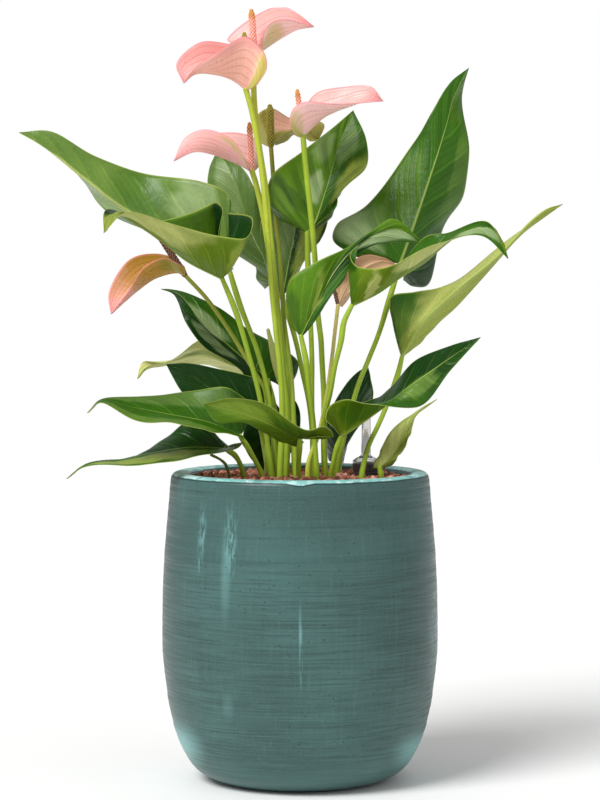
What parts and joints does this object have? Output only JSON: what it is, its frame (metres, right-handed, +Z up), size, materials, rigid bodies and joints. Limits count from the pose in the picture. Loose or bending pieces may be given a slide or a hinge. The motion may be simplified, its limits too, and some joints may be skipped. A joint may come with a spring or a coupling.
{
  "type": "potted flamingo flower",
  "caption": "House plant with heart-shaped glossy leaves and pink spathes on long stalks, in a round-bellied glazed pot of clay granules with a water gauge.",
  "frame": {"origin": "centre of the pot's foot on the surface it stands on", "axes": "+Z up along the pot's axis, +X to the right and -Y towards the viewer as seen in the picture"},
  "size_m": [0.5538, 0.3265, 0.774],
  "materials": {
    "teal_glaze": "satin",
    "clay_granules": "matte",
    "dark_plastic": "gloss",
    "clear_plastic": "clear",
    "float_plastic": "gloss",
    "leaf_green": "glossy",
    "leaf_pale": "satin",
    "dry_brown": "matte",
    "spathe_pink": "satin",
    "spathe_olive": "satin",
    "spathe_gold": "satin",
    "spathe_tan": "matte",
    "spadix_orange": "matte",
    "spadix_olive": "matte",
    "stalk_green": "satin"
  },
  "bodies": {
    "planter": {"pot": "teal_glaze", "granule_bed": "clay_granules", "gauge_body": "dark_plastic", "gauge_dome": "clear_plastic", "leaf_high_left": "leaf_green", "leaf_mid_left": "leaf_pale", "leaf_behind_left": "leaf_green", "leaf_centre_bright": "leaf_green", "leaf_behind_centre": "leaf_green", "leaf_high_right": "leaf_green", "leaf_front_right": "leaf_pale", "leaf_right_rolled": "leaf_pale", "leaf_right_tail": "leaf_pale", "leaf_low_right": "leaf_green", "leaf_small_right": "leaf_pale", "leaf_back_right": "leaf_green", "leaf_front_low": "leaf_pale", "leaf_left_low": "leaf_green", "leaf_lowest_left": "leaf_green", "leaf_left_mid": "leaf_green", "leaf_left_pale": "leaf_pale", "leaf_left_dark": "leaf_green", "leaf_hanging": "leaf_green", "young_leaf": "leaf_pale", "dry_stalk": "dry_brown", "spathe_top_back": "spathe_pink", "spathe_top_front": "spathe_pink", "spathe_right": "spathe_pink", "spathe_left": "spathe_pink", "spathe_centre": "spathe_olive", "spathe_low_left": "spathe_gold", "spathe_dried": "spathe_tan", "spadix_top_back": "spadix_orange", "spadix_top_front": "spadix_orange", "spadix_right": "spadix_orange", "spadix_left": "spadix_orange", "spadix_centre": "spadix_olive", "spadix_low_left": "dry_brown", "spadix_dried": "dry_brown", "stalk_top_back": "stalk_green", "stalk_top_front": "stalk_green", "stalk_right": "stalk_green", "stalk_left": "stalk_green", "stalk_centre": "stalk_green", "stalk_low_left": "stalk_green", "stalk_dried": "stalk_green"},
    "gauge_float": {"gauge_float": "float_plastic"}
  },
  "joints": [
    {"name": "float_slide", "type": "slide", "parent": "planter", "child": "gauge_float", "axis": [0, 0, 1], "range_m": [0, 0.038]}
  ]
}
